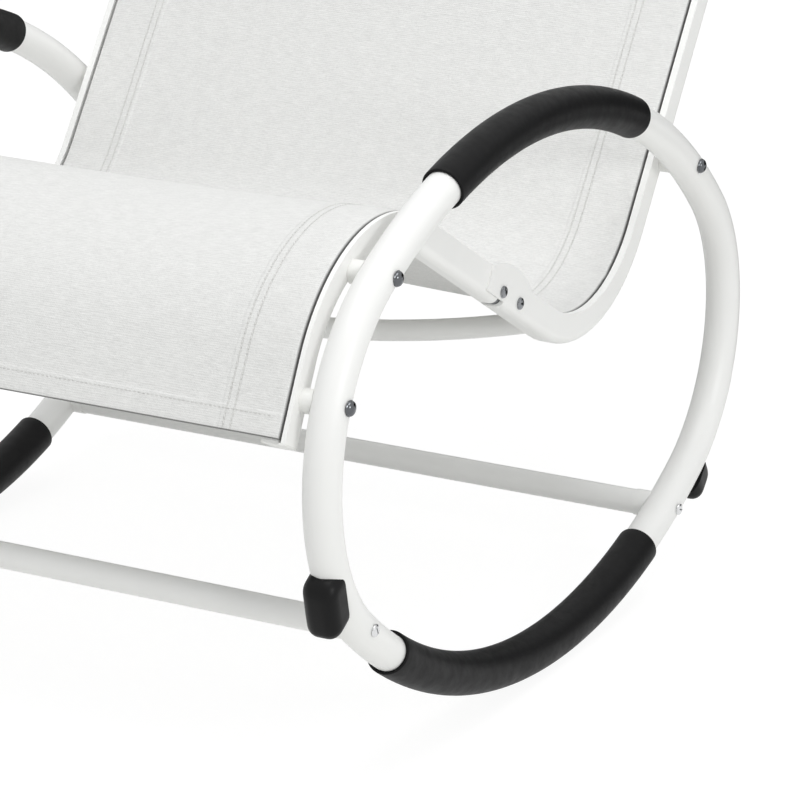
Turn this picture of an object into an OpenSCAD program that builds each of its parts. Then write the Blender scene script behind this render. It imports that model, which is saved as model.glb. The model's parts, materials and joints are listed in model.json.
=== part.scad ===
// Outdoor rocking chair: two oval side rings that rock on the floor, joined by
// two lower cross tubes, with a slung seat and back held between them.
// Millimetres, +Z up. The sitter faces -Y and +X is the sitter's left side.

/* [Side rings] */
// Distance between the middle planes of the two side rings
ring_spacing = 572; // [500:1:640]
// Outside diameter of the ring tube
ring_tube_d = 28; // [24:0.5:32]
// Wall of the ring tube
ring_wall = 1.5; // [1:0.1:2.5]
// Half the length of a ring, from its middle to the tube's middle line
ring_half_len = 352; // [335:1:370]
// Radius of the ring's front end
ring_front_r = 153; // [140:1:170]
// Radius of the ring's rear end
ring_rear_r = 140; // [125:1:160]
// Radius of the ring's top, where the forearm rests
ring_top_r = 490; // [450:5:560]
// Radius of the ring's bottom, which rolls on the floor
ring_bottom_r = 510; // [470:5:600]
// How many degrees the rear of the ring hangs down when the chair is at rest
ring_lean = 7; // [4:0.5:10]
// Place of the welded joint in the ring, as the angle of the ring's outward side
weld_at = 335; // [330:1:340]
// Length of the half sleeve that covers the weld
weld_cover_len = 54; // [40:1:70]
// How far the weld cover stands proud of the ring tube
weld_cover_t = 3.2; // [1.5:0.1:5]
// Length of the sleeve inside the ring at the weld
weld_sleeve_len = 70; // [40:1:90]

/* [Grips and stops] */
// Wall of the black sleeves on the ring
grip_t = 2.6; // [1.5:0.1:4]
// Rear end of the forearm sleeve, as the angle of the ring's outward side
arm_grip_from = 73.75; // [68:0.25:77]
// Front end of the forearm sleeve
arm_grip_to = 112.75; // [108:0.25:118]
// Front end of the sleeve that rocks on the floor
rock_grip_from = 243.5; // [241:0.25:250]
// Rear end of the sleeve that rocks on the floor
rock_grip_to = 295; // [290:0.25:297]
// Place of the front stop pad
front_stop_at = 216.5; // [213:0.5:219]
// Place of the rear stop pad
rear_stop_at = 305.5; // [304:0.5:305.5]
// Length of a stop pad along the ring
stop_len = 50; // [40:1:54]
// Width of a stop pad
stop_w = 30; // [22:0.5:34]
// Thickness of a stop pad outside the ring tube
stop_t = 15; // [9:0.5:20]
// Radius of a stop pad's edges along the ring
stop_round = 8; // [4:0.5:8.5]
// Radius of a stop pad's corners, seen from the side
stop_corner = 10; // [9.5:0.5:12]
// Diameter of the peg that holds a stop pad in the ring
stop_peg_d = 6; // [4:0.5:8]
// How much flatter than the ring a stop pad's saddle is
saddle_ease = 1.5; // [1.4:0.05:1.7]

/* [Lower cross tubes] */
// Outside diameter of the lower cross tubes
bar_d = 20; // [17:0.5:22]
// Wall of the cross tubes and of the bars between the rails
bar_wall = 1.2; // [0.8:0.1:2]
// Place of the front lower cross tube on the ring
front_bar_at = 236.25; // [235:0.25:240]
// Place of the rear lower cross tube on the ring
rear_bar_at = 300.75; // [299:0.25:302.5]
// Outside diameter of the socket between a cross tube and the ring
socket_d = 21.5; // [21:0.25:25]
// Length of the straight part of a socket
socket_len = 9; // [6:0.5:14]
// Depth to which a cross tube enters its socket
socket_depth = 4; // [2:0.5:5]
// Length of the threaded plug in the end of a cross tube
plug_len = 26; // [18:1:40]

/* [Sling frame] */
// Depth of the rails, square to the seat
rail_depth = 23.5; // [23:0.5:30]
// Width of the rails of the seat
rail_w = 20; // [17:0.5:24]
// How much wider the back rails are, on their outer side
lap_t = 2; // [1.5:0.25:3]
// Wall of the rails
rail_wall = 1.4; // [1.2:0.1:1.6]
// Radius of the rails' lower edges
rail_round = 7; // [3:0.5:8]
// Distance from a seat rail's outer face to the middle of its slot
slot_in = 5; // [4.5:0.1:7]
// Width of the slot that the sling's edge goes into
slot_w = 3; // [2.4:0.1:3.6]
// Radius of the channel at the bottom of the slot
channel_r = 2.7; // [2.4:0.1:2.8]
// Depth of the channel's middle below the sling
channel_depth = 5.5; // [5:0.1:5.7]
// How far a rail's inner edge lies below the sling
rail_drop = 1.6; // [1.3:0.1:2.5]
// How far a rail's outer edge stands above the middle of the sling
lip_rise = 1; // [0.4:0.1:2]
// Depth of the joint screws below the sling
screw_depth = 12.75; // [12.75:0.25:17]
// Depth of the front lower frame bolt below the sling
low_bolt_depth = 13.5; // [13.25:0.25:17]
// Depth of the front upper frame bolt below the sling
high_bolt_depth = 16.75; // [14:0.25:18]
// Depth of the rear frame bolt below the sling
rear_bolt_depth = 17.5; // [14:0.25:18]
// Depth of the bars between the rails below the sling
bar_depth = 14; // [12:0.5:14.5]
// Outside diameter of the bars between the rails
seat_bar_d = 17; // [14:0.5:18]
// Slope of the rails at the seat's front edge, in degrees
front_slope = 63; // [60:0.5:68]
// Slope at which the seat falls towards the hips, in degrees
seat_slope = 30.25; // [28:0.25:32]
// Slope of the back, in degrees
back_slope = 54.5; // [51:0.5:57]
// Radius of the rails at the knees
knee_r = 132; // [122:1:142]
// Radius of the rails at the hips
hip_r = 112; // [98:1:124]
// Straight length of the rails below the knees, down to the sling's hem
front_drop = 58; // [45:1:80]
// How far the rails run on below the sling's front hem
rail_foot = 2; // [1:0.5:10]
// Straight length of the back rails above the hips
back_len = 700; // [580:5:760]
// How far the rails run on above the sling's top hem
rail_head = 12; // [6:0.5:25]
// Distance from the knee's bend to the lap of the back rail over the seat rail
lap_from_knee = 126; // [118:1:132]
// Length of the lap
lap_len = 32; // [29:0.5:40]
// Depth of the lap's lower edge below the sling
lap_depth = 19; // [17.5:0.5:21]
// Length of the notch in the lower edge of a seat rail's end
notch_len = 8; // [3:0.5:12]
// Height of that notch
notch_rise = 6; // [3:0.5:7]
// Distance from the knee's bend to the ear that stands on the rails' outer edges
ear_from_knee = 98; // [88:1:104]
// Length of the ear
ear_len = 105; // [96:1:115]
// Height of the ear above the rails' outer edges
ear_rise = 9.5; // [5:0.5:11]
// Length of the ear's front curve, up to its crest
ear_lead = 62; // [50:1:64]
// Length of the ear's rear curve
ear_tail = 38; // [30:1:40]
// Distance of the first joint screw from the lap's front end
first_screw = 25.5; // [24:0.5:26]
// Distance between the two joint screws of a lap
screw_step = 33.5; // [28:0.5:40]
// Length of the joiner inside the two rails
joiner_len = 130; // [110:1:150]
// Clearance of the joiner and the plugs in the rails
rail_fit = 0.25; // [0.1:0.05:0.5]
// Distance of the seat's front bar from the lower end of its rails
front_seat_bar_up = 24; // [18:1:40]
// Distance from the knee's bend to the bowed bar
bowed_bar_from_knee = 250; // [236:1:252]
// How far the bowed bar hangs down in its middle
bowed_bar_drop = 33; // [14:1:45]
// Distance of the top bar from the upper end of its rails
top_bar_down = 34; // [24:1:60]
// Thickness of the flange of a rail's end plug
plug_flange = 1.5; // [1:0.25:4]
// Length of an end plug inside its rail
end_plug_len = 18; // [10:1:30]

/* [Sling] */
// Thickness of the sling
sling_t = 1.6; // [1:0.1:1.8]
// How far the middle of the taut sling dips over the knees
knee_dip = 11; // [3:1:18]
// How far the middle of the taut sling rises across the hips
hip_rise = 11; // [3:1:18]
// Length along the sling over which the dip or the rise fades out
bend_reach = 155; // [100:5:160]
// Diameter of the welt rod along each edge of the sling
welt_d = 4.2; // [3.6:0.1:4.4]
// Gap between the sling's edge and the welt rod
welt_gap = 0.3; // [0.1:0.05:0.6]

/* [Fasteners] */
// Gap between the front of the ring tube and the seat rails
spacer_gap = 7; // [5.5:0.25:12]
// Outside diameter of the spacers between ring and rails
spacer_d = 18; // [12:0.5:20]
// Thread diameter of the frame bolts and joint screws
bolt_d = 5; // [4:0.25:6]
// Diameter of the domed heads of the frame bolts
bolt_head_d = 12; // [9:0.25:14]
// Height of the domed heads
bolt_head_h = 4.5; // [2.5:0.25:5.5]
// Diameter of the low heads of the cross tube screws and joint screws
screw_head_d = 9; // [8:0.25:12]
// Height of those low heads
screw_head_h = 2.6; // [1.5:0.1:4]
// Size of the key that fits in those heads, across its corners
key_d = 3; // [2:0.25:5]
// Clearance of a bolt in its hole, on the radius
hole_fit = 0.2; // [0.1:0.05:0.4]
// Clearance of everything that lies against the ring tube
ring_fit = 0.1; // [0.05:0.05:0.3]
// Place of the front lower frame bolt on the ring
low_bolt_at = 163.5; // [160:0.5:167]
// Place of the front upper frame bolt on the ring
high_bolt_at = 125; // [121:0.5:128]
// Place of the rear frame bolt on the ring
rear_bolt_at = 59.25; // [57:0.25:62]
// Outside diameter of the rivet nuts in the rails
rivet_nut_d = 7; // [6.5:0.25:7.25]
// Length of the rivet nuts
rivet_nut_len = 11; // [8:0.5:14]

/* [Hidden] */
round_steps = 96;
flat_arc_steps = 384;
$fn = round_steps;
$thin = 0;
seam_step = 0.05;
seam_lap = 1;
ear_root = 2;
ear_set_in = 0.5;
eps = 0.01;
head_flat_share = 0.62;
key_floor_share = 0.4;
white = "#f2f2f0";
black = "#1c1c1d";
steel = "#c9cbce";

// Directions and lines in the side view, where x is the chair's Y and y is its Z.
function unit(a) = [cos(a), sin(a)];
function turned(v, a) = [v.x * cos(a) - v.y * sin(a), v.x * sin(a) + v.y * cos(a)];
function cross2(a, b) = a.x * b.y - a.y * b.x;
function angle_of(v) = (atan2(v.y, v.x) + 360) % 360;

// The ring is four arcs that meet smoothly: rear end, top, front end and bottom.
tube_r = ring_tube_d / 2;
front_c = [ring_front_r - ring_half_len, 0];
rear_c = [ring_half_len - ring_rear_r, 0];
ends_apart = rear_c.x - front_c.x;
function long_centre(r, side) =
  let (a = r - ring_front_r, b = r - ring_rear_r)
  let (x = (a * a - b * b + ends_apart * ends_apart) / (2 * ends_apart))
  [front_c.x + x, side * sqrt(a * a - x * x)];
top_c = long_centre(ring_top_r, -1);
bottom_c = long_centre(ring_bottom_r, 1);
top_from = angle_of(rear_c - top_c);
top_to = angle_of(front_c - top_c);
bottom_from = angle_of(front_c - bottom_c);
bottom_to = angle_of(rear_c - bottom_c);
// Each arc: middle, radius, first and last angle of its outward side
ring_arcs = [
  [top_c, ring_top_r, top_from, top_to],
  [front_c, ring_front_r, top_to, bottom_from],
  [bottom_c, ring_bottom_r, bottom_from, bottom_to],
  [rear_c, ring_rear_r, bottom_to, top_from + 360]
];
grip_r = tube_r + ring_fit + grip_t;
ring_up = grip_r + ring_bottom_r - turned(bottom_c, -ring_lean).y;

function arc_at(a) = [for (arc = ring_arcs) if (a >= arc[2] && a < arc[3]) arc][0];
function turn_up(a) = a < top_from ? a + 360 : a;
// A point of the ring by the angle of its outward side, off mm outside the middle
// line and measured along the chair from the ring's own middle
function ring_off(a, off = 0) =
  let (arc = arc_at(turn_up(a)))
  turned(arc[0] + (arc[1] + off) * unit(a), -ring_lean) + [0, ring_up];

// Frame bolts sit where the rails cross the ring, so the rails are laid through them.
low_bolt_off = ring_off(low_bolt_at);
high_bolt_off = ring_off(high_bolt_at);
rear_bolt_off = ring_off(rear_bolt_at);

// The rails' path, along the middle of the sling, from the front hem to the top.
front_dir = unit(front_slope);
front_left = unit(front_slope + 90);
bolt_step = high_bolt_off - low_bolt_off;
bend_low = knee_r - low_bolt_depth;
bend_high = knee_r - high_bolt_depth;
knee_along = bolt_step * front_dir - sqrt(bend_high * bend_high - pow(bolt_step * front_left + bend_low, 2));
knee_off = low_bolt_off - bend_low * front_left + knee_along * front_dir;
knee_in_off = knee_off + knee_r * front_left;
knee_out_off = knee_off + knee_r * unit(90 - seat_slope);
seat_dir = unit(-seat_slope);
back_dir = unit(back_slope);
back_line_off = rear_bolt_off + rear_bolt_depth * unit(back_slope + 90);
hip_turn = back_slope + seat_slope;
hip_reach = hip_r * tan(hip_turn / 2);
to_corner = cross2(back_line_off - knee_out_off, back_dir) / cross2(seat_dir, back_dir);
seat_len = to_corner - hip_reach;
hip_in_off = knee_out_off + seat_len * seat_dir;
hip_out_off = hip_in_off + hip_reach * (seat_dir + back_dir);
top_off = hip_out_off + back_len * back_dir;

// The origin lies on the floor, halfway along the chair.
front_edge = turned(front_c, -ring_lean).x - ring_front_r - tube_r;
rear_edge = top_off.x + rail_depth * sin(back_slope) + plug_flange * cos(back_slope);
ring_y = -(front_edge + rear_edge) / 2;
shift = [ring_y, 0];
function ring_point(a, off = 0) = ring_off(a, off) + shift;
knee_in = knee_in_off + shift;
knee_out = knee_out_off + shift;
hip_in = hip_in_off + shift;
hip_out = hip_out_off + shift;
back_top = top_off + shift;
knee_turn = front_slope + seat_slope;

// Sideways places, as distances from the chair's middle plane
ring_x = ring_spacing / 2;
rail_face = ring_x - tube_r - spacer_gap;
slot_x = rail_face - slot_in;
rail_inner = rail_face - rail_w;
ear_inner = slot_x + slot_w / 2 + ear_set_in;

// A stretch of the path: kind, start, heading, length or radius, turn
function line_part(start, heading, length) = ["line", start, heading, length, 0];
function arc_part(start, heading, r, turn) = ["arc", start, heading, r, turn];
foot_start = knee_in - (front_drop + rail_foot) * front_dir;
front_part = line_part(foot_start, front_slope, front_drop + rail_foot);
knee_part = arc_part(knee_in, front_slope, knee_r, -knee_turn);
lap_start = knee_out + lap_from_knee * seat_dir;
split_at = lap_from_knee + lap_len;
ear_to = ear_from_knee + ear_len;
seat_part = line_part(knee_out, -seat_slope, split_at);
split = knee_out + split_at * seat_dir;
hip_lead_part = line_part(split, -seat_slope, seat_len - split_at);
hip_part = arc_part(hip_in, -seat_slope, hip_r, hip_turn);
back_part = line_part(hip_out, back_slope, back_len);
seat_rail_path = [front_part, knee_part, seat_part];
back_rail_path = [hip_lead_part, hip_part, back_part];
whole_path = concat(seat_rail_path, back_rail_path);

// Places of the bars and joint screws, at a depth under the sling
function under(p, heading, depth) = p - depth * unit(heading + 90);
front_seat_bar_p = under(foot_start + front_seat_bar_up * front_dir, front_slope, bar_depth);
bowed_bar_p = under(knee_out + bowed_bar_from_knee * seat_dir, -seat_slope, bar_depth);
top_bar_p = under(back_top - top_bar_down * back_dir, back_slope, bar_depth);
joint_screw_ps = [for (i = [0, 1])
  under(lap_start + (first_screw + i * screw_step) * seat_dir, -seat_slope, screw_depth)];
bolt_angles = [low_bolt_at, high_bolt_at, rear_bolt_at];
bar_angles = [front_bar_at, rear_bar_at];

// Turns a drawing of the side view into the chair, with the drawing's z along X
module side_view() rotate([90, 0, 90]) children();

// Draws the left side's piece, and the right side's when asked
module on_side(side) {
  if (side == "left") side_view() children();
  else mirror([1, 0, 0]) side_view() children();
}

module both_sides() {
  on_side("left") children();
  on_side("right") children();
}

// Sweeps a section round part of the ring, on the arc that its middle lies on. The
// section's x is the distance from the tube's middle line, outward, and its y is the
// distance from the ring's plane.
module ring_sweep(from, to) {
  arc = arc_at(turn_up((from + to) / 2));
  translate([ring_y, ring_up, ring_x]) rotate(-ring_lean)
    translate(arc[0]) rotate(from) rotate_extrude(angle = to - from)
      translate([arc[1], 0]) children();
}

// Sweeps a section round the whole ring. The two ends are a hair slimmer than the
// long sides and run a little way into them.
module whole_ring_sweep() {
  for (i = [0 : 3]) {
    lap = i % 2 * seam_lap / ring_arcs[i][1] * 180 / PI;
    let ($thin = i % 2 * seam_step)
      ring_sweep(ring_arcs[i][2] - lap, ring_arcs[i][3] + lap) children();
  }
}

// Sets a drawing on the ring, its x outward and its z along X
module at_ring(a, off = 0) {
  p = ring_point(a, off);
  translate([p.x, p.y, 0]) rotate(a - ring_lean) children();
}

// The tube of the ring as a straight cylinder near one place, for coping what meets it
module ring_tube_near(a) {
  at_ring(a) translate([0, 0, ring_x]) rotate([90, 0, 0])
    cylinder(r = tube_r + ring_fit, h = 4 * ring_tube_d, center = true);
}

// A rod along X at one place in the side view
module rod(p, d, from, to) translate([p.x, p.y, from]) cylinder(d = d, h = to - from);

module disc(d) circle(d = d - 2 * $thin);

module pipe(d, wall) {
  difference() {
    disc(d);
    circle(d = d - 2 * wall + 2 * $thin);
  }
}

// Sweeps a section along a stretch of the rails' path. The section's x is the
// height above the sling's middle and its y is the place along X. A bend is a hair
// slimmer than the straight lengths and runs a little way into them.
module sweep_part(part) {
  heading = part[2];
  lap = part[0] == "line" ? 0 : seam_lap / part[3] * 180 / PI;
  $thin = part[0] == "line" ? 0 : seam_step;
  if (part[0] == "line") {
    translate(part[1]) rotate(heading) rotate([90, 0, 90]) linear_extrude(part[3]) children();
  } else if (part[4] < 0) {
    translate(part[1] + part[3] * unit(heading - 90)) rotate(heading + 90 + part[4] - lap)
      rotate_extrude(angle = -part[4] + 2 * lap) translate([part[3], 0]) children();
  } else {
    translate(part[1] + part[3] * unit(heading + 90)) rotate(heading - 90 - lap)
      rotate_extrude(angle = part[4] + 2 * lap) translate([part[3], 0]) mirror([1, 0]) children();
  }
}

module sweep_path(path) {
  for (part = path) sweep_part(part) children();
}

cavity_top = channel_depth + channel_r + rail_wall;

// A rectangle whose two lower corners are rounded
module trough(low, high, inner, outer, r) {
  translate([low + r, inner]) square([high - low - r, outer - inner]);
  translate([low, inner + r]) square([high - low, outer - inner - 2 * r]);
  for (x = [inner + r, outer - r]) translate([low + r, x]) circle(r = r);
}

// The hollow of a rail, or what fits in it with a clearance
module rail_cavity(inset) {
  edge = rail_wall + inset;
  trough(-rail_depth + edge, -cavity_top - inset, rail_inner + edge, rail_face - edge, rail_round - edge);
}

// Outline of a rail's section, with extra width on its outer face
module rail_outline(extra) {
  outer = rail_face + extra - $thin;
  trough(-rail_depth + $thin, -rail_drop - $thin, rail_inner + $thin, outer, rail_round - $thin);
  translate([-channel_depth, slot_x]) square([channel_depth + lip_rise - $thin, outer - slot_x]);
}

module rail_section(extra) {
  difference() {
    rail_outline(extra);
    translate([-channel_depth, slot_x - slot_w / 2 - $thin])
      square([channel_depth + lip_rise + 1, slot_w + 2 * $thin]);
    translate([-channel_depth, slot_x]) circle(r = channel_r + $thin);
    rail_cavity(-$thin);
  }
}

// Holes in a rail for the frame bolts that fall on it
module rail_bolt_holes(angles) {
  for (a = angles) rod(ring_point(a), rivet_nut_d + 2 * hole_fit, rail_face - rail_round, ring_x);
}

module ring(side) {
  color(white) on_side(side) difference() {
    whole_ring_sweep() pipe(ring_tube_d, ring_wall);
    for (a = concat(bolt_angles, bar_angles))
      rod(ring_point(a), bolt_d + 2 * hole_fit, ring_x - ring_tube_d, ring_x + ring_tube_d);
    for (a = [front_stop_at, rear_stop_at])
      at_ring(a) translate([0, 0, ring_x]) rotate([0, 90, 0])
        cylinder(d = stop_peg_d + 2 * hole_fit, h = ring_tube_d);
  }
}

// Half sleeve over the weld: a round wider than the tube, set back so that it fades out
module weld_cover(side) {
  half = weld_cover_len / (ring_rear_r + tube_r) * 90 / PI;
  color(white) on_side(side) ring_sweep(weld_at - half, weld_at + half) difference() {
    translate([weld_cover_t, 0]) circle(r = tube_r);
    circle(r = tube_r + ring_fit);
    translate([-ring_tube_d, -ring_tube_d]) square([ring_tube_d + weld_cover_t, 2 * ring_tube_d]);
  }
}

module weld_sleeve(side) {
  half = weld_sleeve_len / ring_rear_r * 90 / PI;
  color(steel) on_side(side) ring_sweep(weld_at - half, weld_at + half)
    pipe(ring_tube_d - 2 * ring_wall - 2 * ring_fit, ring_wall);
}

module grip(side, from, to) {
  color(black) on_side(side) ring_sweep(from, to) pipe(2 * grip_r, grip_t);
}

// Stop pad: a rounded block that saddles the outer side of the ring tube. It is
// thicker towards the floor, which lies on the side that floor_side gives.
module stop_pad(side, a, floor_side) {
  reach = tube_r + stop_t;
  color(black) on_side(side) {
    difference() {
      at_ring(a) translate([0, 0, ring_x]) intersection() {
        rotate([90, 0, 0]) linear_extrude(stop_len + 4, center = true)
          rounded(2 * reach + 2, stop_w, stop_round);
        rotate([0, 90, 0]) linear_extrude(reach + 2)
          rounded(stop_w + 2, stop_len, stop_corner - 1);
        linear_extrude(stop_w + 4, center = true) pad_side(reach, floor_side);
      }
      pad_saddle(a);
    }
    at_ring(a, tube_r / 2) translate([0, 0, ring_x]) rotate([0, 90, 0])
      cylinder(d = stop_peg_d, h = tube_r / 2 + stop_t / 2);
  }
}

// The hollow of a pad: the ring's tube on a flatter arc, which touches the ring in the
// pad's middle and stays clear of it where another arc of the ring begins
module pad_saddle(a) {
  r = saddle_ease * arc_at(turn_up(a))[1];
  half = stop_len / r * 180 / PI;
  at_ring(a, -r) translate([0, 0, ring_x]) rotate(-half)
    rotate_extrude(angle = 2 * half, $fn = flat_arc_steps)
      translate([r, 0]) circle(r = tube_r + ring_fit, $fn = round_steps);
}

module rounded(w, h, r) {
  square([w - 2 * r, h], center = true);
  square([w, h - 2 * r], center = true);
  for (x = [-1, 1], y = [-1, 1]) translate([x * (w / 2 - r), y * (h / 2 - r)]) circle(r = r);
}

// Side view of a pad: its outer face slants, so that its upper end meets the ring
module pad_side(reach, floor_side) {
  face_r = stop_len * 1.1;
  pad_from = tube_r * 0.3;
  intersection() {
    translate([pad_from + reach, 0]) rounded(2 * reach, stop_len + 1, stop_corner);
    translate([reach - face_r, floor_side * stop_len / 4]) circle(r = face_r);
  }
}

module cross_tube(a) {
  end = ring_x - tube_r - socket_len + socket_depth;
  p = ring_point(a);
  color(white) side_view() translate([p.x, p.y, -end]) linear_extrude(2 * end) pipe(bar_d, bar_wall);
}

module cross_tube_sockets() {
  mouth = ring_x - tube_r - socket_len;
  color(white) both_sides() for (a = bar_angles) difference() {
    rod(ring_point(a), socket_d, mouth, ring_x);
    rod(ring_point(a), bar_d + 2 * ring_fit, mouth - tube_r, mouth + socket_depth + ring_fit);
    rod(ring_point(a), bolt_d + 2 * hole_fit, 0, ring_x);
    ring_tube_near(a);
  }
}

module cross_tube_plugs() {
  end = ring_x - tube_r - socket_len + socket_depth;
  color(steel) both_sides() for (a = bar_angles) difference() {
    rod(ring_point(a), bar_d - 2 * bar_wall - 2 * ring_fit, end - plug_len, end);
    rod(ring_point(a), bolt_d + 2 * ring_fit, 0, ring_x);
  }
}

// A low round head with its shank, along X, with a socket for the key
module low_screw(p, face, shank_to) {
  difference() {
    union() {
      rod(p, screw_head_d, face, face + screw_head_h / 2);
      translate([p.x, p.y, face + screw_head_h / 2])
        cylinder(d1 = screw_head_d, d2 = screw_head_d * head_flat_share, h = screw_head_h / 2);
      rod(p, bolt_d, shank_to, face + eps);
    }
    translate([p.x, p.y, face + screw_head_h * key_floor_share])
      cylinder(d = key_d, h = screw_head_h, $fn = 6);
  }
}

module cross_tube_screws() {
  color(steel) both_sides() for (a = bar_angles)
    low_screw(ring_point(a), ring_x + tube_r, ring_x - tube_r - socket_len - plug_len / 2);
}

module seat_rail(side) {
  color(white) on_side(side) difference() {
    union() {
      sweep_path(seat_rail_path) rail_section(0);
      on_seat_line(ear_inner, rail_face - seam_step)
        ear_span(ear_from_knee - ear_root, split_at - seam_step);
    }
    sweep_part(line_part(split - notch_len * seat_dir, -seat_slope, notch_len + 1))
      translate([-rail_depth - 1, rail_inner - 1]) square([notch_rise + 1, rail_w + 2]);
    rail_bolt_holes([low_bolt_at, high_bolt_at]);
    rod(joint_screw_ps[0], bolt_d + 2 * hole_fit, rail_face - rail_wall - 1, ring_x);
  }
}

// Outline of the ear in the side view, along the seat's straight stretch: two arcs,
// the front one long and flat and the rear one short
module ear_outline() {
  lead_r = (ear_lead * ear_lead + ear_rise * ear_rise) / (2 * ear_rise);
  tail_r = (ear_tail * ear_tail + ear_rise * ear_rise) / (2 * ear_rise);
  crest = lip_rise + ear_rise;
  intersection() {
    translate([ear_from_knee + ear_lead, crest - lead_r]) circle(r = lead_r);
    translate([ear_to - ear_tail, crest - tail_r]) circle(r = tail_r);
  }
}

// A stretch of the ear, with its root in the rail's outer edge, a little lower if asked
module ear_span(from, to, lower = 0) {
  intersection() {
    translate([0, -lower]) ear_outline();
    translate([from, ear_root - channel_depth]) square([to - from, channel_depth + ear_rise]);
  }
}

// Sets a drawing on the seat's straight stretch, its x the distance from the knee's bend
module on_seat_line(inner, outer) {
  translate([knee_out.x, knee_out.y, inner]) rotate(-seat_slope)
    linear_extrude(outer - inner) children();
}

// The flat lap of the back rail over the end of the seat rail
module lap_plate() {
  on_seat_line(rail_face, rail_face + lap_t - seam_step) {
    translate([lap_from_knee, -lap_depth])
      square([lap_len + seam_lap, lap_depth + lip_rise - seam_step]);
    ear_span(lap_from_knee + seam_step, ear_to + ear_root);
  }
}

module back_rail(side) {
  color(white) on_side(side) difference() {
    union() {
      sweep_path(back_rail_path) rail_section(lap_t);
      lap_plate();
      on_seat_line(ear_inner, rail_face + lap_t / 2)
        ear_span(split_at + seam_step, ear_to + ear_root, seam_step);
    }
    rail_bolt_holes([rear_bolt_at]);
    for (p = joint_screw_ps) rod(p, bolt_d + 2 * hole_fit, rail_face - rail_wall - 1, ring_x);
  }
}

module rail_joiner(side) {
  start = split - joiner_len / 2 * seat_dir;
  color(steel) on_side(side) difference() {
    sweep_part(line_part(start, -seat_slope, joiner_len)) rail_cavity(rail_fit);
    for (p = joint_screw_ps) rod(p, bolt_d + 2 * ring_fit, 0, ring_x);
  }
}

module joint_screws() {
  color(black) both_sides() for (p = joint_screw_ps)
    low_screw(p, rail_face + lap_t, rail_inner + rail_wall + 2 * rail_fit);
}

module straight_bar(p) {
  color(white) side_view() translate([p.x, p.y, -rail_inner]) linear_extrude(2 * rail_inner)
    pipe(seat_bar_d, bar_wall);
}

// A bar bowed away from the sling, so that the sling can give under the sitter
module bowed_bar() {
  bow_r = (rail_inner * rail_inner + bowed_bar_drop * bowed_bar_drop) / (2 * bowed_bar_drop);
  half = asin(rail_inner / bow_r);
  color(white) side_view() translate([bowed_bar_p.x, bowed_bar_p.y, 0]) rotate(-seat_slope)
    translate([0, bow_r - bowed_bar_drop, 0]) rotate([0, 90, 0]) rotate(-90 - half)
      rotate_extrude(angle = 2 * half) translate([bow_r, 0]) pipe(seat_bar_d, bar_wall);
}

// A plug that closes the end of a rail: its flange starts at one place, and its
// inner part reaches from halfway through the flange into the rail
module end_plug(flange_from, plug_from, heading, extra) {
  sweep_part(line_part(flange_from, heading, plug_flange)) rail_outline(extra);
  sweep_part(line_part(plug_from, heading, end_plug_len + plug_flange / 2)) rail_cavity(rail_fit);
}

module rail_foot_plugs() {
  start = foot_start - plug_flange * front_dir;
  color(white) both_sides() end_plug(start, start + plug_flange / 2 * front_dir, front_slope, 0);
}

module rail_top_plugs() {
  color(white) both_sides() end_plug(back_top, back_top - end_plug_len * back_dir, back_slope, lap_t);
}

// The sling: rows of points along the path, and a closed section across it
line_step = 60;
turn_step = 8;
function line_rows(start, heading, length) =
  let (n = ceil(length / line_step))
  [for (i = [0 : n - 1]) [start + i * length / n * unit(heading), heading]];
function arc_rows(start, heading, r, turn) =
  let (n = ceil(abs(turn) / turn_step), side = sign(turn), c = start + r * unit(heading + side * 90))
  [for (i = [0 : n - 1]) let (h = heading + i * turn / n) [c - r * unit(h + side * 90), h]];
sling_start = knee_in - front_drop * front_dir;
sling_back_len = back_len - rail_head;
sling_rows = concat(
  line_rows(sling_start, front_slope, front_drop),
  arc_rows(knee_in, front_slope, knee_r, -knee_turn),
  line_rows(knee_out, -seat_slope, seat_len),
  arc_rows(hip_in, -seat_slope, hip_r, hip_turn),
  line_rows(hip_out, back_slope, sling_back_len),
  [[hip_out + sling_back_len * back_dir, back_slope]]
);
row_count = len(sling_rows);
function run_to(i) = i == 0 ? 0 : run_to(i - 1) + norm(sling_rows[i][0] - sling_rows[i - 1][0]);
knee_mid = front_drop + knee_r * knee_turn * PI / 360;
hip_mid = front_drop + knee_r * knee_turn * PI / 180 + seat_len + hip_r * hip_turn * PI / 360;
function bump(d) = abs(d) < bend_reach ? pow(cos(90 * d / bend_reach), 2) : 0;
function sag_at(i) = knee_dip * bump(run_to(i) - knee_mid) - hip_rise * bump(run_to(i) - hip_mid);
// Places across the sling, from the right edge to the left
inner_cols = 8;
edge_x = slot_x - sling_t / 2;
across = concat([-slot_x - sling_t / 2],
  [for (i = [0 : inner_cols]) -rail_inner + i * 2 * rail_inner / inner_cols],
  [slot_x + sling_t / 2]);
function droop(x) = max(0, 1 - pow(x / rail_inner, 2));
flange = channel_depth - welt_d / 2 - welt_gap;
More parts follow.
